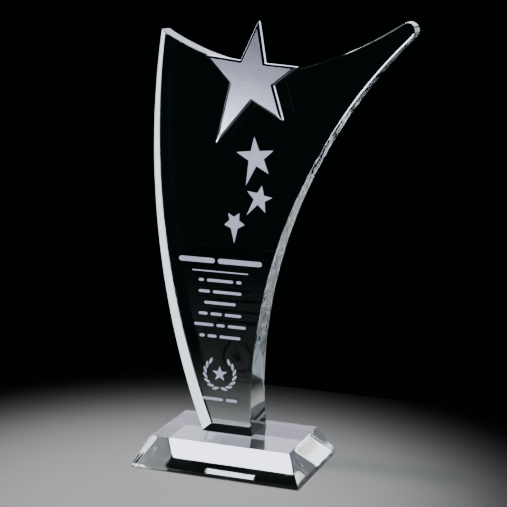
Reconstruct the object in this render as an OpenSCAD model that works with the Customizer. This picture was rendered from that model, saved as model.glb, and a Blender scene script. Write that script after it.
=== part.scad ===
// Star trophy: a wedge-shaped glass blade bonded on a bevelled glass base,
// with a polished metal star on its face and engraved, silver-filled artwork.
// Origin: centre of the base's underside. +Z is up and -Y is the front.

/* [Base] */
// Width of the base's flat top
base_top_w = 92; // [86:1:110]
// Depth of the base's flat top
base_top_d = 55; // [46:1:70]
// Height of the base
base_h = 19; // [16:0.5:25]
// Height of the upright lip under the bevel
base_lip = 2.5; // [1.5:0.5:5]
// How far the bevel runs out from the top to the lip
base_bevel = 9; // [5:0.5:14]

/* [Blade] */
// Thickness of the blade at its foot
blade_foot_t = 27; // [24:0.5:32]
// Thickness of the blade at its highest point
blade_top_t = 12.5; // [10:0.5:16]
// Distance of the blade's front face ahead of the base's centre
blade_front = 7.5; // [5:0.5:12]
// Radius of the outward-bowed left edge
left_r = 492; // [480:1:510]
// Radius of the hollow right edge
right_r = 319; // [312:1:326]
// Radius of the hollow top edge, left of the metal star's right arm
top_r = 146; // [142:1:152]
// Radius of the hollow edge along the top of the horn
horn_r = 228; // [220:1:236]
// Radius of the rounded tip of the horn
tip_r = 5; // [4:0.25:6]

/* [Metal star] */
// Thickness of the metal star
star_t = 4; // [3:0.5:6]
// Height of the star's bevelled rim
star_rim = 0.7; // [0.4:0.1:1]
// Size of the metal star, as a share of its normal size
star_size = 1; // [0.9:0.02:1.02]

/* [Engraving] */
// Depth of the engraved pockets
pocket_d = 0.6; // [0.4:0.1:1]
// Thickness of the silver fill in the pockets
fill_t = 0.5; // [0.3:0.1:0.9]
// Height of the strokes that stand for words
word_h = 1.8; // [1.4:0.1:2.4]
// Distance between lines of the message
line_pitch = 7.1; // [6:0.1:7.2]

/* [Bonding] */
// Thickness of the clear bond under the blade
blade_bond_t = 0.2; // [0.1:0.05:0.4]
// Thickness of the bond behind the metal star
star_bond_t = 0.3; // [0.1:0.05:0.6]

/* [Hidden] */
$fn = 96;
overlap = 1;
base_w = base_top_w + 2 * base_bevel;
base_d = base_top_d + 2 * base_bevel;

// Blade: edge arcs [x, z] in the plane of the front face
front_y = -blade_front;
foot_z = base_h + blade_bond_t;
blade_top_z = 277;
blade_reach = 170;
taper = atan((blade_foot_t - blade_top_t) / (blade_top_z - foot_z));
left_c = [left_r - 52, 195];
top_c = [30, top_r + 248.3];
horn_c = [-19.4, horn_r + 240.7];
horn_join_x = 40.3;
tip_angle = -57.5;
right_c_z = 40.5;

// The tip's circle touches the horn's arc, and the right arc touches the tip's circle
tip_c = horn_c + (horn_r + tip_r) * [cos(tip_angle), sin(tip_angle)];
right_dz = tip_c[1] - right_c_z;
right_c = [tip_c[0] + sqrt((right_r + tip_r) ^ 2 - right_dz ^ 2), right_c_z];
touch_top = tip_c + tip_r * unit(horn_c - tip_c);
touch_right = tip_c + tip_r * unit(right_c - tip_c);

// Stars: [radius, angle] of each tip and of each notch, anticlockwise from the right
metal_star_at = [14, 244];
metal_tips = [[29, 12], [32.5, 83], [32, 159], [47.5, 241], [32.5, 307]];
metal_notches = [[11, 43], [11.4, 130], [15.2, 200], [15.1, 270], [14.5, 338]];
upper_star_at = [15.5, 195];
upper_tips = [[12.2, 23], [12.5, 95], [12.8, 168], [18.5, 250], [12.5, 311]];
upper_notches = [[4.7, 61], [5, 131], [5.1, 205], [5.2, 274], [5.2, 351]];
middle_star_at = [18, 170];
middle_tips = [[8.4, 8], [8.5, 79], [9, 151], [13.5, 232], [9.1, 295]];
middle_notches = [[3.6, 38], [3.8, 112], [3.7, 189], [3.8, 252], [3.8, 337]];
lower_star_at = [1.8, 153];
lower_tips = [[6.8, 3], [8.2, 66], [8.1, 120], [6.6, 183], [11.6, 270]];
lower_notches = [[4.2, 42], [4.9, 93], [4.2, 138], [3.2, 225], [3.2, 315]];

// Text block: words are plain rounded strokes, given by their lengths in each line
text_x = -7.5;
name_z = 129.5;
name_words = [24, 29];
name_h = 3.2;
rule_z = 122.8;
rule_w = 37;
rule_h = 0.8;
line_1_z = 117;
line_words = [[3.5, 17.5, 3.5], [7.5, 19], [21], [6, 7.5, 11], [13, 5.5, 12], [3.5, 6, 14]];
word_gap = 2;
caption_z = 40.8;
caption_words = [14, 7.5];

// Emblem: a plain wreath round a small star
emblem_z = 57.5;
wreath_r = 10;
leaves_a_side = 7;
leaf_step = 21;
leaf_l = 5;
leaf_w = 1.8;
leaf_splay = 30;
badge_tips = [for (i = [0:4]) [5.2, 90 + 72 * i]];
badge_notches = [for (i = [0:4]) [2.1, 126 + 72 * i]];

function unit(v) = v / norm(v);
function polar(p) = p[0] * [cos(p[1]), sin(p[1])];
function star_points(tips, notches) =
    [for (i = [0:4]) each [polar(tips[i]), polar(notches[i])]];
function total(v, n) = n == 0 ? 0 : v[n - 1] + total(v, n - 1);

// Stands a drawing in X and Y up against a plane that faces the front:
// its Y becomes Z, and its thickness runs forward from y_back
module upright(y_back, thickness) {
    translate([0, y_back, 0]) rotate([90, 0, 0]) linear_extrude(thickness) children();
}

// Trapezium section of the base, for one direction
module base_section(top_w) {
    foot = top_w / 2 + base_bevel;
    polygon([[-foot, 0], [foot, 0], [foot, base_lip], [top_w / 2, base_h],
             [-top_w / 2, base_h], [-foot, base_lip]]);
}

module glass_base() {
    color("honeydew", 0.5) intersection() {
        upright(base_d / 2, base_d) base_section(base_top_w);
        rotate([0, 0, 90]) upright(base_w / 2, base_w) base_section(base_top_d);
    }
}

// Outline of the blade in X and Z, as its front face shows it
module blade_outline() {
    outward = unit([touch_top[1] - touch_right[1], touch_right[0] - touch_top[0]]);
    difference() {
        intersection() {
            translate(left_c) circle(left_r, $fn = 360);
            translate([-blade_reach / 2, 0]) square([1.5 * blade_reach, 2 * blade_reach]);
        }
        translate(right_c) circle(right_r, $fn = 360);
        intersection() {
            translate(top_c) circle(top_r, $fn = 360);
            translate([horn_join_x - blade_reach, 0]) square([blade_reach, 3 * blade_reach]);
        }
        intersection() {
            translate(horn_c) circle(horn_r, $fn = 360);
            translate([horn_join_x, 0]) square([2 * blade_reach, 3 * blade_reach]);
        }
        translate(touch_top) rotate(atan2(outward[1], outward[0]))
            translate([0, -blade_reach]) square([blade_reach, 2 * blade_reach]);
    }
    translate(tip_c) circle(tip_r);
}

// Wedge between the upright front face and the leaning back face
module wedge() {
    rise = 1.25 * (blade_top_z - foot_z);
    rotate([90, 0, 90]) translate([0, 0, -blade_reach]) linear_extrude(2 * blade_reach)
        polygon([[front_y, foot_z], [front_y + blade_foot_t, foot_z],
                 [front_y + blade_foot_t - rise * tan(taper), foot_z + rise],
                 [front_y, foot_z + rise]]);
}

// The blade's edges are ground square to its front face
module blade_blank() {
    intersection() {
        wedge();
        upright(front_y + blade_foot_t + overlap, blade_foot_t + 2 * overlap) blade_outline();
    }
}

module glass_blade() {
    color("honeydew", 0.5) difference() {
        blade_blank();
        upright(front_y + pocket_d, pocket_d + overlap) artwork();
    }
}

module blade_bond() {
    color("lightcyan", 0.6) intersection() {
        translate([0, 0, -blade_bond_t]) blade_blank();
        translate([-blade_reach, -blade_reach, base_h])
            cube([2 * blade_reach, 2 * blade_reach, blade_bond_t]);
    }
}

module star(at, tips, notches, size = 1) {
    translate(at) scale(size) polygon(star_points(tips, notches));
}

module metal_star() {
    plate_t = star_t - star_rim;
    back = front_y - star_bond_t;
    face = star_points(metal_tips, metal_notches);
    color("silver") {
        upright(back, plate_t) star(metal_star_at, metal_tips, metal_notches, star_size);
        translate([metal_star_at[0], back - plate_t, metal_star_at[1]]) rotate([90, 0, 0])
            linear_extrude(star_rim, scale = 0.95) scale(star_size) polygon(face);
    }
}

module star_bond() {
    color("gainsboro", 0.6)
        intersection() {
            upright(front_y, star_bond_t)
                star(metal_star_at, metal_tips, metal_notches, star_size * 0.96);
            translate([0, -star_bond_t, 0]) blade_blank();
        }
}

// One word: a straight stroke with round ends
module word(length, height) {
    translate([height / 2, -height / 2]) square([length - height, height]);
    for (x = [height / 2, length - height / 2]) translate([x, 0]) circle(d = height);
}

// A line of words, centred on the text block
module words(z, lengths, height) {
    line_w = total(lengths, len(lengths)) + word_gap * (len(lengths) - 1);
    for (i = [0:len(lengths) - 1])
        translate([text_x - line_w / 2 + total(lengths, i) + word_gap * i, z])
            word(lengths[i], height);
}

module message_line(i) words(line_1_z - line_pitch * (i - 1), line_words[i - 1], word_h);

module rule() translate([text_x - rule_w / 2, rule_z - rule_h / 2]) square([rule_w, rule_h]);

// Pointed leaf between two arcs, along X
module leaf() {
    r = (leaf_l * leaf_l / 4 + leaf_w * leaf_w / 4) / leaf_w;
    intersection() {
        translate([0, r - leaf_w / 2]) circle(r);
        translate([0, leaf_w / 2 - r]) circle(r);
    }
}

module emblem() {
    translate([text_x, emblem_z]) {
        polygon(star_points(badge_tips, badge_notches));
        for (way = [-1, 1], i = [0:leaves_a_side - 1])
            rotate(way * leaf_step * (i + 0.8) - 90) translate([wreath_r, 0])
                rotate(way * (90 - leaf_splay)) leaf();
    }
}

module artwork() {
    star(upper_star_at, upper_tips, upper_notches);
    star(middle_star_at, middle_tips, middle_notches);
    star(lower_star_at, lower_tips, lower_notches);
    words(name_z, name_words, name_h);
    rule();
    for (i = [1:len(line_words)]) message_line(i);
    emblem();
    words(caption_z, caption_words, word_h);
}

// Silver fill on the floor of a pocket
module fill() {
    color("lavender") upright(front_y + pocket_d, fill_t) children();
}

glass_base();
glass_blade();
blade_bond();
metal_star();
star_bond();
fill() star(upper_star_at, upper_tips, upper_notches);  // upper_star_fill
fill() star(middle_star_at, middle_tips, middle_notches);  // middle_star_fill
fill() star(lower_star_at, lower_tips, lower_notches);  // lower_star_fill
fill() words(name_z, name_words, name_h);  // name_fill
fill() rule();  // rule_fill
fill() message_line(1);  // line_1_fill
fill() message_line(2);  // line_2_fill
fill() message_line(3);  // line_3_fill
fill() message_line(4);  // line_4_fill
fill() message_line(5);  // line_5_fill
fill() message_line(6);  // line_6_fill
fill() emblem();  // emblem_fill
fill() words(caption_z, caption_words, word_h);  // caption_fill
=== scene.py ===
"""Star trophy: a wedge of clear glass bonded on a bevelled glass base, with a satin metal star and
silver-filled engraving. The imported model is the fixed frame; the polished surfaces are worked out here."""

import math

import bpy
import numpy as np
from mathutils import Matrix, Vector


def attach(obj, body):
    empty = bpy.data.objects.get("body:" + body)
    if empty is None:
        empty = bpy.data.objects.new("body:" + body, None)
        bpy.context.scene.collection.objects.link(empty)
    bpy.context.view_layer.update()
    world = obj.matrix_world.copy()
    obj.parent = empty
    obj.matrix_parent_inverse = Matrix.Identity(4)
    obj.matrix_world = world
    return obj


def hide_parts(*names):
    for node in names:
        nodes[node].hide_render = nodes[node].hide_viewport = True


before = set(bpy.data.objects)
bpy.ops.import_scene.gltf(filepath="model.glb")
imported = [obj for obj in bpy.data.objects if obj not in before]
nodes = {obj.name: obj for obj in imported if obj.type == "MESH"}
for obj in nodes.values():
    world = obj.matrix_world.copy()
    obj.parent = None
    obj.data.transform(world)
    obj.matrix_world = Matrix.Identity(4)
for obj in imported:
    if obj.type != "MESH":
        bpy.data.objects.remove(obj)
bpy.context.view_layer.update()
MM = 0.001

# --- Sizes, in millimetres, the same as the part's own -----------------------------------------------------
BASE_TOP_W, BASE_TOP_D, BASE_H, BASE_LIP, BASE_BEVEL = 92, 55, 19, 2.5, 9
BASE_W, BASE_D = BASE_TOP_W + 2 * BASE_BEVEL, BASE_TOP_D + 2 * BASE_BEVEL
FRONT_Y, FOOT_Z, FOOT_T, TOP_T, TOP_Z = -7.5, 19.2, 27, 12.5, 277
TAPER = math.atan((FOOT_T - TOP_T) / (TOP_Z - FOOT_Z))
LEFT_R, LEFT_C = 492, np.array([440.0, 195.0])
TOP_R, TOP_C = 146, np.array([30.0, 394.3])
HORN_R, HORN_C, HORN_JOIN_X = 228, np.array([-19.4, 468.7]), 40.3
TIP_R, TIP_ANGLE = 5, math.radians(-57.5)
TIP_C = HORN_C + (HORN_R + TIP_R) * np.array([math.cos(TIP_ANGLE), math.sin(TIP_ANGLE)])
RIGHT_R, RIGHT_Z = 319, 40.5
RIGHT_C = np.array([TIP_C[0] + math.sqrt((RIGHT_R + TIP_R) ** 2 - (TIP_C[1] - RIGHT_Z) ** 2), RIGHT_Z])
STAR_AT = np.array([14.0, 244.0])
STAR_TIPS = [[29, 12], [32.5, 83], [32, 159], [47.5, 241], [32.5, 307]]
STAR_NOTCHES = [[11, 43], [11.4, 130], [15.2, 200], [15.1, 270], [14.5, 338]]
STAR_BACK, STAR_FACE = -7.8, -11.8
ARRIS = 0.7


# --- Camera --------------------------------------------------------------------------------------------------
def make_camera():
    """The camera stands a little to the right of the front and a little above, and looks slightly down."""
    azimuth, elevation, roll = math.radians(20.86), math.radians(11.73), math.radians(0.44)
    back = Vector((math.sin(azimuth) * math.cos(elevation), -math.cos(azimuth) * math.cos(elevation),
                   math.sin(elevation)))
    right0 = Vector((math.cos(azimuth), math.sin(azimuth), 0))
    up0 = back.cross(right0)
    right = math.cos(roll) * right0 + math.sin(roll) * up0
    up = -math.sin(roll) * right0 + math.cos(roll) * up0
    data = bpy.data.cameras.new("camera")
    data.lens, data.sensor_width = 100, 36
    data.clip_start, data.clip_end = 0.05, 20
    camera = bpy.data.objects.new("camera", data)
    place = back * 0.896 + right * 0.0119 + up * 0.1308
    camera.matrix_world = Matrix.Translation(place) @ Matrix((right, up, back)).transposed().to_4x4()
    bpy.context.scene.collection.objects.link(camera)
    bpy.context.scene.camera = camera
    return camera


camera = make_camera()


# --- Meshes --------------------------------------------------------------------------------------------------
def make_piece(name, points, faces, materials, face_material=None, replaces=(), smooth=30, even=False):
    """A mesh object at the origin from points in millimetres, smooth except where faces meet sharply."""
    mesh = bpy.data.meshes.new(name)
    mesh.from_pydata((np.asarray(points) * MM).tolist(), [], faces.tolist() if hasattr(faces, "tolist") else faces)
    for m in materials:
        mesh.materials.append(m)
    if face_material is not None:
        mesh.polygons.foreach_set("material_index", np.asarray(face_material, np.int32))
    mesh.polygons.foreach_set("use_smooth", np.ones(len(mesh.polygons), bool))
    mesh.update()
    mesh.validate()
    mesh.set_sharp_from_angle(angle=math.radians(smooth))
    piece = bpy.data.objects.new(name, mesh)
    bpy.context.scene.collection.objects.link(piece)
    if even:
        shade = piece.modifiers.new("even_shading", "WEIGHTED_NORMAL")
        shade.weight, shade.keep_sharp = 100, True
    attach(piece, "root")
    if replaces:
        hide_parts(*replaces)
    return piece


def quads(index, closed=True):
    """Quads between neighbouring rows and columns of a grid of vertex numbers; the columns close up."""
    a = index if not closed else np.concatenate([index, index[:, :1]], axis=1)
    return np.stack([a[:-1, :-1], a[:-1, 1:], a[1:, 1:], a[1:, :-1]], axis=-1).reshape(-1, 4)


def between(a, b, t):
    return a + (b - a) * t


def coons(left, right, bottom, top):
    """A grid between four curves: the blend of left to right plus the blend of bottom to top, less the blend
    of the four corners. left and right run upwards, bottom and top run to the right."""
    v = np.linspace(0, 1, len(left))[:, None, None]
    u = np.linspace(0, 1, len(bottom))[None, :, None]
    sides = between(left[:, None], right[:, None], u)
    ends = between(bottom[None], top[None], v)
    corners = between(between(left[0], right[0], u), between(left[-1], right[-1], u), v)
    return sides + ends - corners


SIDE_N, END_N, WALL_ROWS = 280, 110, 24
FOOT_LIFT, RIPPLE = 0.2, 0.6
FLOOR_HALF, FLOOR_BACK = 0.9, 0.16


def arc(centre, radius, start, end, n):
    """Points on a circle from one angle to the other."""
    a = np.linspace(start, end, n)
    return centre + radius * np.stack([np.cos(a), np.sin(a)], axis=1)


def angle_of(p, centre):
    return math.atan2(p[1] - centre[1], p[0] - centre[0])


def resample(line, n):
    """The same line as n points at equal steps along it."""
    step = np.linalg.norm(np.diff(line, axis=0), axis=1)
    run = np.concatenate([[0], np.cumsum(step)])
    at = np.linspace(0, run[-1], n)
    return np.stack([np.interp(at, run, line[:, k]) for k in (0, 1)], axis=1)


def circles_meet(c0, r0, c1, r1, side):
    """The point where two circles cross, on the given side of the line between their centres."""
    d = np.linalg.norm(c1 - c0)
    a = (d * d + r0 * r0 - r1 * r1) / (2 * d)
    h = math.sqrt(r0 * r0 - a * a)
    along = (c1 - c0) / d
    return c0 + a * along + side * h * np.array([-along[1], along[0]])


def blade_curves(inset, foot):
    """The blade's outline in its own plane as four curves (left, right, bottom, top), drawn in by inset.
    Every arc keeps its centre, and its radius grows or shrinks by inset; the tip is split between top and right."""
    left_r, top_r, horn_r = LEFT_R - inset, TOP_R + inset, HORN_R + inset
    tip_r, right_r = TIP_R - inset, RIGHT_R + inset
    corner = circles_meet(LEFT_C, left_r, TOP_C, top_r, 1)
    if corner[0] > 0:
        corner = circles_meet(LEFT_C, left_r, TOP_C, top_r, -1)
    x_at = lambda c, r, z: c[0] - math.sqrt(r * r - (z - c[1]) ** 2)
    foot_l = np.array([x_at(LEFT_C, left_r, foot), foot])
    foot_r = np.array([x_at(RIGHT_C, right_r, foot), foot])
    left = arc(LEFT_C, left_r, angle_of(foot_l, LEFT_C) % (2 * math.pi), angle_of(corner, LEFT_C) % (2 * math.pi), 400)
    z_join = TOP_C[1] - math.sqrt(top_r ** 2 - (HORN_JOIN_X - TOP_C[0]) ** 2)
    top_a = arc(TOP_C, top_r, angle_of(corner, TOP_C), angle_of((HORN_JOIN_X, z_join), TOP_C), 200)
    z_horn = HORN_C[1] - math.sqrt(horn_r ** 2 - (HORN_JOIN_X - HORN_C[0]) ** 2)
    horn = arc(HORN_C, horn_r, angle_of((HORN_JOIN_X, z_horn), HORN_C), TIP_ANGLE, 200)[1:]
    to_horn = angle_of(HORN_C, TIP_C)
    to_right = angle_of(RIGHT_C, TIP_C)
    middle = (to_horn + to_right) / 2
    tip_top = arc(TIP_C, tip_r, to_horn, middle, 40)[1:]
    tip_right = arc(TIP_C, tip_r, middle, to_right, 40)
    touch = TIP_C + tip_r * np.array([math.cos(to_right), math.sin(to_right)])
    right = arc(RIGHT_C, right_r, angle_of(touch, RIGHT_C) % (2 * math.pi), angle_of(foot_r, RIGHT_C) % (2 * math.pi), 400)[1:]
    top = np.concatenate([top_a, horn, tip_top])
    right = np.concatenate([tip_right, right])[::-1]
    bottom = np.stack([foot_l, foot_r])
    return resample(left, SIDE_N), resample(right, SIDE_N), resample(bottom, END_N), resample(top, END_N)


def blade_ring(inset, share, depth):
    """One loop round the blade, clockwise from the front, and a grid that fills it, at share of the way from the
    front face to the leaning back face (both drawn in by depth). The blade's thickness falls evenly with height."""
    left, right, bottom, top = blade_curves(inset, FOOT_Z + FOOT_LIFT * inset)

    def stand(p):
        thickness = FOOT_T - (p[..., 1] - FOOT_Z) * math.tan(TAPER)
        return np.stack([p[..., 0], FRONT_Y + depth + share * (thickness - 2 * depth), p[..., 1]], axis=-1)

    loop = np.concatenate([left, top[1:], right[::-1][1:], bottom[::-1][1:-1]])
    return stand(loop), stand(coons(left, right, bottom, top)), loop


def soft_noise(rng, rows, cols, at_row, at_col):
    """Smooth noise from -1 to 1: random values on a rows by cols lattice, blended by smoothstep between
    neighbours, read at the given row and column positions."""
    lattice = rng.uniform(-1, 1, (rows + 2, cols + 2))
    r, c = np.clip(at_row, 0, rows), np.clip(at_col, 0, cols)
    r0, c0 = np.floor(r).astype(int), np.floor(c).astype(int)
    fr, fc = r - r0, c - c0
    fr, fc = fr * fr * (3 - 2 * fr), fc * fc * (3 - 2 * fc)
    low = lattice[r0, c0] * (1 - fc) + lattice[r0, c0 + 1] * fc
    high = lattice[r0 + 1, c0] * (1 - fc) + lattice[r0 + 1, c0 + 1] * fc
    return low * (1 - fr) + high * fr


def blade_mesh():
    """The blade: a front and a back grid, joined by loops that turn over the polished arris and cross the edge
    wall. On the right wall, shallow ground hollows are pressed in, deepest in the middle of its height."""
    steps = [(ARRIS, 0, 0), (0.42 * ARRIS, 0, 0.42 * ARRIS)]
    steps += [(0, s, ARRIS) for s in np.linspace(0, 1, WALL_ROWS)]
    steps += [(0.42 * ARRIS, 1, 0.42 * ARRIS), (ARRIS, 1, 0)]
    rings, grids, flats = zip(*[blade_ring(*s) for s in steps])
    rings = np.array(rings)
    n_left, n_top, n_right = SIDE_N, END_N - 1, SIDE_N - 1
    on_right = np.zeros(rings.shape[1], bool)
    on_right[n_left + n_top: n_left + n_top + n_right] = True
    flat = flats[WALL_ROWS // 2]
    out = RIGHT_C - flat
    out /= np.linalg.norm(out, axis=1)[:, None]
    z = flat[:, 1][None, :]
    across = np.zeros(len(steps))
    across[2:2 + WALL_ROWS] = np.linspace(0, 1, WALL_ROWS)
    across[2 + WALL_ROWS:] = 1
    across = across[:, None]
    rng = np.random.default_rng(11)
    broad = soft_noise(rng, 60, 6, z / 5.0, across * 4)
    fine = soft_noise(rng, 150, 12, z / 2.0, across * 9)
    amount = 0.5 * (1 + 0.7 * broad + 0.3 * fine)
    zone = np.clip((z - 78) / 14, 0, 1) * np.clip((236 - z) / 30, 0, 1)
    wall = np.sin(np.pi * np.clip(across, 0, 1)) ** 0.5
    press = np.where(on_right[None, :], RIPPLE * amount * zone * wall, 0)
    rings[..., 0] -= press * out[None, :, 0]
    rings[..., 2] -= press * out[None, :, 1]
    front, back = grids[0], grids[-1]
    n_v, n_u = front.shape[:2]
    cap = np.arange(n_v * n_u).reshape(n_v, n_u)
    edge = np.concatenate([cap[:, 0], cap[-1, 1:], cap[::-1, -1][1:], cap[0, ::-1][1:-1]])
    points = np.concatenate([front.reshape(-1, 3), back.reshape(-1, 3), rings[1:-1].reshape(-1, 3)])
    inner = 2 * cap.size + np.arange(rings[1:-1, :, 0].size).reshape(len(steps) - 2, -1)
    index = np.concatenate([edge[None], inner, (edge + cap.size)[None]])
    wall_faces = quads(index)
    n_p = index.shape[1]
    column = np.tile(np.arange(n_p), len(steps) - 1)
    row = np.repeat(np.arange(len(steps) - 1), n_p)
    on_foot = column >= n_left + n_top + n_right - 1
    material = np.zeros(len(wall_faces), np.int32)
    material[on_foot & (row >= 2) & (row < 1 + WALL_ROWS)] = 2
    material[(column >= n_left + n_top) & ~on_foot & (row >= 2) & (row < 1 + WALL_ROWS)] = 1
    front_faces = quads(cap, closed=False)
    back_faces = quads(cap + cap.size, closed=False)[:, ::-1]
    faces = np.concatenate([front_faces, back_faces, wall_faces])
    material = np.concatenate([np.zeros(len(front_faces) + len(back_faces), np.int32), material])
    foot = [rings[2, -1], rings[2, n_left + n_top + n_right - 1], rings[1 + WALL_ROWS, n_left + n_top + n_right - 1],
            rings[1 + WALL_ROWS, 0]]
    foot[0] = rings[2, 0]
    return points, faces, material, np.array(foot)


# --- Base ----------------------------------------------------------------------------------------------------
CORNER_STEPS, EDGE_STEPS = 5, 9


def rectangle_loop(half_w, half_d, r):
    """A rectangle with small round corners, anticlockwise from above, from the front left corner."""
    loop = []
    for sx, sy, start in ((-1, -1, 180), (1, -1, 270), (1, 1, 0), (-1, 1, 90)):
        a = np.radians(start + np.linspace(0, 90, CORNER_STEPS))
        loop.append(np.stack([sx * (half_w - r) + r * np.cos(a), sy * (half_d - r) + r * np.sin(a)], axis=1))
        nxt = {(-1, -1): (1, -1), (1, -1): (1, 1), (1, 1): (-1, 1), (-1, 1): (-1, -1)}[(sx, sy)]
        t = np.linspace(0, 1, EDGE_STEPS + 2)[1:-1, None]
        a1 = loop[-1][-1]
        along_x = nxt[0] != sx
        end = np.array([nxt[0] * (half_w - r), a1[1]]) if along_x else np.array([a1[0], nxt[1] * (half_d - r)])
        loop.append(a1 + (end - a1) * t)
    return np.concatenate(loop)


def base_mesh(foot):
    """The base: loops of a rounded rectangle carried up the profile of lip and bevel, a flat underside, and a
    top that runs in to the blade's footprint."""
    profile = [(0.5, 0), (0.15, 0.15), (0, 0.5), (0, BASE_LIP - 0.3), (0.1, BASE_LIP + 0.12)]
    profile += [(BASE_BEVEL * t, BASE_LIP + (BASE_H - BASE_LIP) * t) for t in np.linspace(0.06, 0.96, 8)]
    profile += [(BASE_BEVEL - 0.05, BASE_H - 0.28), (BASE_BEVEL + 0.12, BASE_H - 0.08), (BASE_BEVEL + 0.45, BASE_H)]
    loops = [np.concatenate([rectangle_loop(BASE_W / 2 - i, BASE_D / 2 - i, 0.8),
                             np.full((4 * (CORNER_STEPS + EDGE_STEPS), 1), z)], axis=1) for i, z in profile]
    n = len(loops[0])
    per_side = CORNER_STEPS + EDGE_STEPS
    corners = foot[:, :2]
    t = (np.concatenate([np.zeros(CORNER_STEPS // 2), np.linspace(0, 1, per_side - CORNER_STEPS // 2)]))
    # each side of the footprint starts in the middle of a corner's points
    s = (np.arange(n) - CORNER_STEPS // 2) / per_side
    s = np.where(s < 0, s + 4, s)
    k = np.floor(s).astype(int) % 4
    f = (s - np.floor(s))[:, None]
    print_loop = corners[k] * (1 - f) + corners[(k + 1) % 4] * f
    loops.append(np.concatenate([print_loop, np.full((n, 1), BASE_H)], axis=1))
    points = np.concatenate(loops)
    index = np.arange(len(points)).reshape(len(loops), n)
    faces = quads(index).tolist()
    faces.append(index[0][::-1].tolist())
    faces.append(index[-1].tolist())
    material = np.zeros(len(faces), np.int32)
    material[-1] = 1
    return points, faces, material


# --- Metal star ----------------------------------------------------------------------------------------------
def star_corners(inset):
    """The star's ten corners drawn in by inset: each side is moved in square to itself, and neighbours meet."""
    at = np.array([v for pair in zip(STAR_TIPS, STAR_NOTCHES) for v in pair], float)
    a = np.radians(at[:, 1])
    p = at[:, :1] * np.stack([np.cos(a), np.sin(a)], axis=1)
    d = np.roll(p, -1, axis=0) - p
    d /= np.linalg.norm(d, axis=1)[:, None]
    inward = np.stack([-d[:, 1], d[:, 0]], axis=1)
    q = p + inset * inward
    d0, q0 = np.roll(d, 1, axis=0), np.roll(q, 1, axis=0)
    cross = d0[:, 0] * d[:, 1] - d0[:, 1] * d[:, 0]
    w = q - q0
    t = (w[:, 0] * d[:, 1] - w[:, 1] * d[:, 0]) / cross
    return q0 + d0 * t[:, None]


STAR_SIDE, STAR_ROUND = 14, 5


def star_loop(inset):
    """The star's outline with each corner rounded by a short curve between points near it on its two sides."""
    c = star_corners(inset)
    soft = np.where(np.arange(10) % 2 == 0, 0.8, 0.5)[:, None]
    nxt, prv = np.roll(c, -1, axis=0) - c, np.roll(c, 1, axis=0) - c
    nxt /= np.linalg.norm(nxt, axis=1)[:, None]
    prv /= np.linalg.norm(prv, axis=1)[:, None]
    a, b = c + prv * soft, c + nxt * soft
    t = np.linspace(0, 1, STAR_ROUND)[None, :, None]
    turn = a[:, None] * (1 - t) ** 2 + 2 * c[:, None] * t * (1 - t) + b[:, None] * t ** 2
    u = np.linspace(0, 1, STAR_SIDE + 2)[None, 1:-1, None]
    side = b[:, None] + (np.roll(a, -1, axis=0) - b)[:, None] * u
    return np.concatenate([turn, side], axis=1).reshape(-1, 2)


def star_mesh():
    """The metal star: its outline carried over a rounded rim, closed by faces that run in to the middle."""
    profile = [(0.2, STAR_BACK), (0.05, STAR_BACK - 0.06), (0, STAR_BACK - 0.2), (0, -9.4), (0, -10.9),
               (0.05, -11.1), (0.14, -11.25), (0.28, -11.36), (0.46, -11.43), (0.9, -11.62), (1.3, STAR_FACE)]
    loops = []
    for i, y in profile:
        p = star_loop(i)
        loops.append(np.stack([p[:, 0], np.full(len(p), y), p[:, 1]], axis=1))
    first, last = loops[0], loops[-1]
    shrink = np.linspace(1, 0.02, 18)[1:]
    loops = [np.stack([first[:, 0] * s, first[:, 1], first[:, 2] * s], axis=1) for s in shrink[::-1]] + loops
    loops += [np.stack([last[:, 0] * s, last[:, 1], last[:, 2] * s], axis=1) for s in shrink]
    points = np.concatenate(loops) + [STAR_AT[0], 0, STAR_AT[1]]
    n = len(loops[0])
    index = np.arange(len(points)).reshape(len(loops), n)
    faces = quads(index).tolist() + [index[0][::-1].tolist(), index[-1].tolist()]
    row = np.repeat(np.arange(len(index) - 1), n)
    on_rim = (row >= len(shrink)) & (row < len(shrink) + len(profile) - 1)
    return points, faces, np.concatenate([on_rim, [False, False]])


def star_bond_mesh():
    """The bond behind the star: the outline a little smaller, a hair inside the gap."""
    loops = []
    for i, y in [(1.2, -7.51), (1.0, -7.55), (1.0, -7.75), (1.2, -7.79)]:
        p = star_loop(i)
        loops.append(np.stack([p[:, 0], np.full(len(p), y), p[:, 1]], axis=1))
    first, last = loops[0], loops[-1]
    shrink = (0.5, 0.02)
    loops = [first * [s, 1, s] for s in shrink[::-1]] + loops + [last * [s, 1, s] for s in shrink]
    points = np.concatenate(loops) + [STAR_AT[0], 0, STAR_AT[1]]
    index = np.arange(len(points)).reshape(len(loops), -1)
    return points, quads(index).tolist() + [index[0][::-1].tolist(), index[-1].tolist()]


def blade_bond_mesh(foot):
    """The bond under the blade: loops of the footprint with slightly rounded sides, a hair clear of both
    glasses; its flat top and bottom are closed by one face each."""
    middle = foot.mean(axis=0)
    t = np.linspace(0, 1, 9)[:-1, None]
    loop = np.concatenate([foot[k] * (1 - t) + foot[(k + 1) % 4] * t for k in range(4)])
    loops = []
    for shrink, z in [(0.99, BASE_H + 0.01), (0.998, BASE_H + 0.05), (0.998, FOOT_Z - 0.05), (0.99, FOOT_Z - 0.01)]:
        ring = middle + (loop - middle) * shrink
        ring[:, 2] = z
        loops.append(ring)
    points = np.concatenate(loops)
    index = np.arange(len(points)).reshape(4, -1)
    faces = quads(index).tolist() + [index[0][::-1].tolist(), index[-1].tolist()]
    material = np.zeros(len(faces), np.int32)
    material[-2:] = 1
    return points, faces, material


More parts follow.
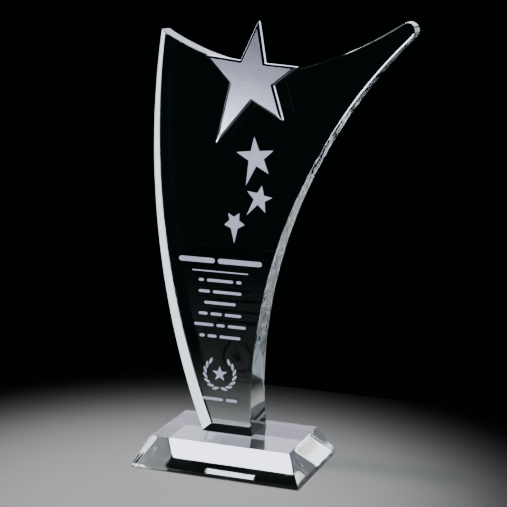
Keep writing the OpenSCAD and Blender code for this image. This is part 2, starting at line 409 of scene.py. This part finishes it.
# --- Materials -----------------------------------------------------------------------------------------------
def new_group(name, inputs, outputs):
    """An empty node group with the named inputs (name, kind, value) and outputs (name, kind)."""
    g = bpy.data.node_groups.new(name, "ShaderNodeTree")
    for label, kind, value in inputs:
        s = g.interface.new_socket(label, in_out="INPUT", socket_type=kind)
        s.default_value = value
    for label, kind in outputs:
        g.interface.new_socket(label, in_out="OUTPUT", socket_type=kind)
    return g, g.nodes.new("NodeGroupInput"), g.nodes.new("NodeGroupOutput")


def add(tree, kind, links=None, **values):
    """A node with attributes set by name and inputs set or linked by their name or number."""
    node = tree.nodes.new(kind)
    for k, v in values.items():
        setattr(node, k, v)
    for k, v in (links or {}).items():
        if isinstance(v, bpy.types.NodeSocket):
            tree.links.new(v, node.inputs[k])
        else:
            node.inputs[k].default_value = v
    return node


def speckle_group():
    """Fine grain: noise at a given number of grains to the metre, as a height and as a mask round one half."""
    g, i, o = new_group("fine_grain", [("Vector", "NodeSocketVector", (0, 0, 0)), ("Scale", "NodeSocketFloat", 2000.0),
                                       ("Stretch", "NodeSocketVector", (1, 1, 1)), ("Contrast", "NodeSocketFloat", 1.0)],
                        [("Height", "NodeSocketFloat"), ("Mask", "NodeSocketFloat")])
    v = add(g, "ShaderNodeVectorMath", {0: i.outputs["Vector"], 1: i.outputs["Stretch"]}, operation="MULTIPLY")
    n = add(g, "ShaderNodeTexNoise", {"Vector": v.outputs[0], "Scale": i.outputs["Scale"], "Detail": 4.0, "Roughness": 0.6})
    s = add(g, "ShaderNodeMath", {0: n.outputs["Fac"], 1: 0.5}, operation="SUBTRACT")
    m = add(g, "ShaderNodeMath", {0: s.outputs[0], 1: i.outputs["Contrast"], 2: 0.5}, operation="MULTIPLY_ADD")
    m.use_clamp = True
    g.links.new(n.outputs["Fac"], o.inputs["Height"])
    g.links.new(m.outputs[0], o.inputs["Mask"])
    return g


def marks_group():
    """Handling marks: broad cloudy smudges and a few fine wipe streaks, as a mask from clean to marked."""
    g, i, o = new_group("handling_marks", [("Vector", "NodeSocketVector", (0, 0, 0)), ("Amount", "NodeSocketFloat", 0.5)],
                        [("Mask", "NodeSocketFloat")])
    cloud = add(g, "ShaderNodeTexNoise", {"Vector": i.outputs["Vector"], "Scale": 28.0, "Detail": 3.0, "Roughness": 0.55,
                                          "Distortion": 0.6})
    turn = add(g, "ShaderNodeMapping", {"Vector": i.outputs["Vector"], "Rotation": (0.3, 0.5, 0.9), "Scale": (1, 1, 9)})
    wipe = add(g, "ShaderNodeTexNoise", {"Vector": turn.outputs[0], "Scale": 60.0, "Detail": 2.0, "Roughness": 0.5})
    a = add(g, "ShaderNodeMapRange", {"Value": cloud.outputs["Fac"], "From Min": 0.5, "From Max": 0.75})
    b = add(g, "ShaderNodeMapRange", {"Value": wipe.outputs["Fac"], "From Min": 0.58, "From Max": 0.8})
    s = add(g, "ShaderNodeMath", {0: a.outputs[0], 1: b.outputs[0]}, operation="MAXIMUM")
    m = add(g, "ShaderNodeMath", {0: s.outputs[0], 1: i.outputs["Amount"]}, operation="MULTIPLY")
    g.links.new(m.outputs[0], o.inputs["Mask"])
    return g


GRAIN, MARKS = speckle_group(), marks_group()


def new_material(name):
    m = bpy.data.materials.new(name)
    m.use_nodes = True
    t = m.node_tree
    t.nodes.clear()
    out = t.nodes.new("ShaderNodeOutputMaterial")
    p = t.nodes.new("ShaderNodeBsdfPrincipled")
    where = t.nodes.new("ShaderNodeTexCoord").outputs["Object"]
    t.links.new(p.outputs[0], out.inputs["Surface"])
    return m, t, p, out, where


def use(tree, group, links):
    node = add(tree, "ShaderNodeGroup", node_tree=group)
    for k, v in links.items():
        if isinstance(v, bpy.types.NodeSocket):
            tree.links.new(v, node.inputs[k])
        else:
            node.inputs[k].default_value = v
    return node


def range_of(tree, value, low, high, from_min=0.0, from_max=1.0):
    return add(tree, "ShaderNodeMapRange", {"Value": value, "From Min": from_min, "From Max": from_max,
                                            "To Min": low, "To Max": high}).outputs[0]


def let_lamps_through(tree, principled, out, tint):
    """Rays from lamps pass straight through the glass, so that what stands behind it is lit."""
    path = tree.nodes.new("ShaderNodeLightPath")
    clear = add(tree, "ShaderNodeBsdfTransparent", {"Color": tint})
    mix = add(tree, "ShaderNodeMixShader", {0: path.outputs["Is Shadow Ray"], 1: principled.outputs[0], 2: clear.outputs[0]})
    tree.links.new(mix.outputs[0], out.inputs["Surface"])


def ground_edge_material():
    """The right edge wall: clear at its foot, ground and hammered above, with cloudy patches between."""
    m, t, p, out, where = new_material("ground_glass")
    p.inputs["Base Color"].default_value = (0.97, 0.98, 0.985, 1)
    p.inputs["IOR"].default_value = 1.5
    p.inputs["Transmission Weight"].default_value = 1.0
    height = add(t, "ShaderNodeSeparateXYZ", {0: where}).outputs["Z"]
    patch = use(t, GRAIN, {"Vector": where, "Scale": 150.0, "Contrast": 5.0})
    pits = use(t, GRAIN, {"Vector": where, "Scale": 520.0, "Contrast": 2.0})
    shift = add(t, "ShaderNodeMath", {0: patch.outputs["Mask"], 1: 0.03, 2: height}, operation="MULTIPLY_ADD")
    low = range_of(t, shift.outputs[0], 0.0, 1.0, 0.092, 0.112)
    high = range_of(t, shift.outputs[0], 1.0, 0.0, 0.175, 0.205)
    zone = add(t, "ShaderNodeMath", {0: low, 1: high}, operation="MULTIPLY").outputs[0]
    cloudy = add(t, "ShaderNodeMath", {0: zone, 1: patch.outputs["Mask"]}, operation="MULTIPLY")
    t.links.new(range_of(t, cloudy.outputs[0], 0.07, 0.34), p.inputs["Roughness"])
    pitted = add(t, "ShaderNodeMath", {0: pits.outputs["Height"], 1: zone}, operation="MULTIPLY")
    bump = add(t, "ShaderNodeBump", {"Strength": 1.0, "Distance": 0.0009, "Height": pitted.outputs[0]})
    t.links.new(bump.outputs[0], p.inputs["Normal"])
    let_lamps_through(t, p, out, (0.9, 0.93, 0.92, 1))
    return m


def glass_material(name, ior, rough, wave, grain_scale, grain_bump, tint=(0.955, 0.985, 0.97, 1), lamps=False):
    """Clear glass with faint handling marks, a slow polishing waviness and fine grinding grain."""
    m, t, p, out, where = new_material(name)
    p.inputs["Base Color"].default_value = tint
    p.inputs["IOR"].default_value = ior
    p.inputs["Transmission Weight"].default_value = 1.0
    marks = use(t, MARKS, {"Vector": where, "Amount": 1.0})
    t.links.new(range_of(t, marks.outputs["Mask"], rough[0], rough[1]), p.inputs["Roughness"])
    slow = use(t, GRAIN, {"Vector": where, "Scale": 45.0})
    fine = use(t, GRAIN, {"Vector": where, "Scale": grain_scale})
    first = add(t, "ShaderNodeBump", {"Strength": 1.0, "Distance": wave, "Height": slow.outputs["Height"]})
    second = add(t, "ShaderNodeBump", {"Strength": 1.0, "Distance": grain_bump, "Height": fine.outputs["Height"],
                                       "Normal": first.outputs[0]})
    t.links.new(second.outputs[0], p.inputs["Normal"])
    if lamps:
        let_lamps_through(t, p, out, (0.9, 0.93, 0.92, 1))
    return m


def star_material(name, rough, grain_bump):
    """Satin steel: a fine even grain from bead blasting, cloudy brightness and faint handling marks."""
    m, t, p, out, where = new_material(name)
    p.inputs["Metallic"].default_value = 1.0
    grain = use(t, GRAIN, {"Vector": where, "Scale": 1500.0, "Contrast": 1.6})
    cloud = use(t, GRAIN, {"Vector": where, "Scale": 40.0, "Contrast": 1.5})
    marks = use(t, MARKS, {"Vector": where, "Amount": 1.0})
    tone = add(t, "ShaderNodeMix", {"Factor": cloud.outputs["Mask"]}, data_type="RGBA")
    tone.inputs["A"].default_value = (0.63, 0.65, 0.74, 1)
    tone.inputs["B"].default_value = (0.76, 0.78, 0.86, 1)
    t.links.new(tone.outputs["Result"], p.inputs["Base Color"])
    base = range_of(t, grain.outputs["Mask"], rough[0], rough[1])
    worn = add(t, "ShaderNodeMath", {0: marks.outputs["Mask"], 1: 0.06, 2: base}, operation="MULTIPLY_ADD")
    t.links.new(worn.outputs[0], p.inputs["Roughness"])
    bump = add(t, "ShaderNodeBump", {"Strength": 1.0, "Distance": grain_bump, "Height": grain.outputs["Height"]})
    t.links.new(bump.outputs[0], p.inputs["Normal"])
    return m


def fill_material():
    """Silver enamel rubbed into the engraving: lavender grey with a fine metallic grain."""
    m, t, p, out, where = new_material("silver_fill")
    p.inputs["Metallic"].default_value = 0.15
    grain = use(t, GRAIN, {"Vector": where, "Scale": 1700.0, "Contrast": 2.2})
    cloud = use(t, GRAIN, {"Vector": where, "Scale": 160.0, "Contrast": 1.4})
    both = add(t, "ShaderNodeMath", {0: grain.outputs["Mask"], 1: cloud.outputs["Mask"]}, operation="MULTIPLY")
    tone = add(t, "ShaderNodeMix", {"Factor": both.outputs[0]}, data_type="RGBA")
    tone.inputs["A"].default_value = (0.50, 0.50, 0.60, 1)
    tone.inputs["B"].default_value = (0.74, 0.74, 0.88, 1)
    t.links.new(tone.outputs["Result"], p.inputs["Base Color"])
    t.links.new(range_of(t, grain.outputs["Mask"], 0.6, 0.42), p.inputs["Roughness"])
    bump = add(t, "ShaderNodeBump", {"Strength": 0.5, "Distance": 0.00006, "Height": grain.outputs["Height"]})
    t.links.new(bump.outputs[0], p.inputs["Normal"])
    return m


def floor_material():
    """Pale matt table top with a faint mottle."""
    m, t, p, out, where = new_material("pale_floor")
    mottle = use(t, GRAIN, {"Vector": where, "Scale": 14.0, "Contrast": 1.0})
    tone = add(t, "ShaderNodeMix", {"Factor": mottle.outputs["Mask"]}, data_type="RGBA")
    tone.inputs["A"].default_value = (0.70, 0.70, 0.72, 1)
    tone.inputs["B"].default_value = (0.76, 0.76, 0.78, 1)
    t.links.new(tone.outputs["Result"], p.inputs["Base Color"])
    p.inputs["Roughness"].default_value = 0.7
    return m


clear_glass = glass_material("clear_glass", 1.5, (0.0, 0.03), 0.00001, 700.0, 0.0, lamps=True)
base_glass = glass_material("base_glass", 1.5, (0.0, 0.03), 0.00001, 700.0, 0.0)
ground_glass = ground_edge_material()
bonded_glass = glass_material("bonded_glass", 1.0, (0.0, 0.01), 0.0, 700.0, 0.0, tint=(0.80, 0.85, 0.86, 1))
clear_bond = glass_material("clear_bond", 1.5, (0.02, 0.08), 0.0, 900.0, 0.00001, tint=(0.97, 0.98, 0.98, 1))
star_metal = star_material("star_metal", (0.26, 0.31), 0.000003)
star_rim = star_material("polished_rim", (0.06, 0.12), 0.000002)
silver_fill = fill_material()

# --- Pieces --------------------------------------------------------------------------------------------------
points, faces, which, footprint = blade_mesh()
blade = make_piece("glass_blade_polished", points, faces, [clear_glass, ground_glass, bonded_glass], which,
                   replaces=["glass_blade"])
points, faces, which = base_mesh(footprint)
base = make_piece("glass_base_polished", points, faces, [base_glass, bonded_glass], which,
                  replaces=["glass_base"], even=True)
points, faces, which = star_mesh()
star = make_piece("metal_star_brushed", points, faces, [star_metal, star_rim], which, replaces=["metal_star"],
                  smooth=14, even=True)
points, faces = star_bond_mesh()
bond = make_piece("star_bond_clear", points, faces, [clear_bond], replaces=["star_bond"])
points, faces, which = blade_bond_mesh(footprint)
joint = make_piece("blade_bond_clear", points, faces, [clear_bond, bonded_glass], which,
                   replaces=["blade_bond"])
for name, node in nodes.items():
    if name.endswith("_fill"):
        node.data.materials.clear()
        node.data.materials.append(silver_fill)


# --- Stage ---------------------------------------------------------------------------------------------------
def make_floor():
    """A plain pale table top whose back edge runs a little behind the base."""
    corners = [(-FLOOR_HALF, -FLOOR_HALF), (FLOOR_HALF, -FLOOR_HALF), (FLOOR_HALF, FLOOR_BACK), (-FLOOR_HALF, FLOOR_BACK)]
    top = np.array([[x, y, -0.0002] for x, y in corners])
    points = np.concatenate([top, top - [0, 0, 0.02]])
    faces = [(0, 1, 2, 3), (7, 6, 5, 4), (0, 4, 5, 1), (1, 5, 6, 2), (2, 6, 7, 3), (3, 7, 4, 0)]
    mesh = bpy.data.meshes.new("floor")
    mesh.from_pydata(points.tolist(), [], faces)
    mesh.materials.append(floor_material())
    floor = bpy.data.objects.new("floor", mesh)
    bpy.context.scene.collection.objects.link(floor)
    return floor


def only_for(light, name, things, state):
    """The light reaches only these things, or everything but them."""
    group = bpy.data.collections.new(name)
    for thing in things:
        group.objects.link(thing)
    for row in group.collection_objects:
        row.light_linking.link_state = state
    light.light_linking.receiver_collection = group


def soft_light(name, place, aim, size, glow, colour=(1, 1, 1), spread=180):
    """A soft box of the given brightness that shines from place towards aim."""
    data = bpy.data.lights.new(name, "AREA")
    data.shape, data.size, data.size_y = "RECTANGLE", size[0], size[1]
    data.energy, data.color = glow * math.pi * size[0] * size[1], colour
    data.spread = math.radians(spread)
    light = bpy.data.objects.new(name, data)
    light.matrix_world = Matrix.Translation(place) @ (
        Vector(place) - Vector(aim)).to_track_quat("Z", "Y").to_matrix().to_4x4()
    light.visible_camera = False
    bpy.context.scene.collection.objects.link(light)
    return light


def heading(angle, distance, height):
    """A place at a heading (degrees to the right of straight back) and distance from the trophy."""
    a = math.radians(angle)
    return (math.sin(a) * distance, math.cos(a) * distance, height)


floor = make_floor()
MIDDLE = (0.02, 0, 0.14)
STAR_PLACE = (0.014, -0.012, 0.244)
fills = [nodes[n] for n in nodes if n.endswith("_fill")]
right_box = soft_light("back_right_box", heading(32, 1.2, 0.1), MIDDLE, (0.62, 1.3), 1.3, (0.95, 0.99, 1.10))
back_box = soft_light("back_top_box", heading(-18, 1.3, 0.75), (0, 0, 0.1), (1.6, 0.9), 2.2, (0.96, 0.95, 1.12))
over_box = soft_light("overhead_box", (0.0, -0.05, 1.3), (0, 0, 0.1), (0.8, 0.6), 8.0)
left_box = soft_light("left_box", heading(-82, 1.2, 0.3), (0, 0, 0.05), (0.8, 0.7), 2.0)
for light in (right_box, back_box, over_box, left_box):
    only_for(light, light.name + "_flag", [floor, *fills], "EXCLUDE")
low_card = soft_light("star_low_card", (-0.17, -0.30, 0.082), STAR_PLACE, (0.15, 0.11), 18.0, (0.97, 0.98, 1.06))
high_card = soft_light("star_high_card", (-0.40, -1.05, 0.30), STAR_PLACE, (0.7, 0.8), 0.06, (0.72, 0.80, 1.25))
front_glow = soft_light("front_glow", (-0.125, -0.33, 0.2), (0, 0, 0.2), (0.35, 0.5), 0.06, (0.25, 1.0, 0.9))
only_for(front_glow, "front_glow_flag", [blade], "INCLUDE")
for light in (low_card, high_card):
    only_for(light, light.name + "_flag", [star], "INCLUDE")
key = soft_light("engraving_key", (-0.5, -1.2, 0.7), (0, 0, 0.12), (0.8, 0.6), 15, (0.98, 0.98, 1.08))
only_for(key, "engraving_key_flag", fills, "INCLUDE")

pool = bpy.data.lights.new("floor_pool", "SPOT")
POOL_AT, POOL_HEIGHT, POOL_RADIUS = (-0.01, -0.085), 1.25, 0.24
pool.energy, pool.spot_size = 36, 2 * math.atan(POOL_RADIUS / POOL_HEIGHT)
pool.spot_blend, pool.shadow_soft_size = 1.0, 0.05
lamp = bpy.data.objects.new("floor_pool", pool)
lamp.location = (*POOL_AT, POOL_HEIGHT)
lamp.visible_camera = False
bpy.context.scene.collection.objects.link(lamp)
only_for(lamp, "floor_pool_targets", [floor], "INCLUDE")

world = bpy.data.worlds.new("dark_room")
world.use_nodes = True
world.node_tree.nodes["Background"].inputs["Color"].default_value = (0.0015, 0.003, 0.003, 1)
bpy.context.scene.world = world
bpy.context.scene.view_settings.view_transform = "AgX"
bpy.context.scene.view_settings.look = "AgX - Medium High Contrast"
cycles = bpy.context.scene.cycles
cycles.max_bounces = cycles.transmission_bounces = cycles.glossy_bounces = 40
cycles.transparent_max_bounces = 16
cycles.caustics_refractive = cycles.caustics_reflective = False
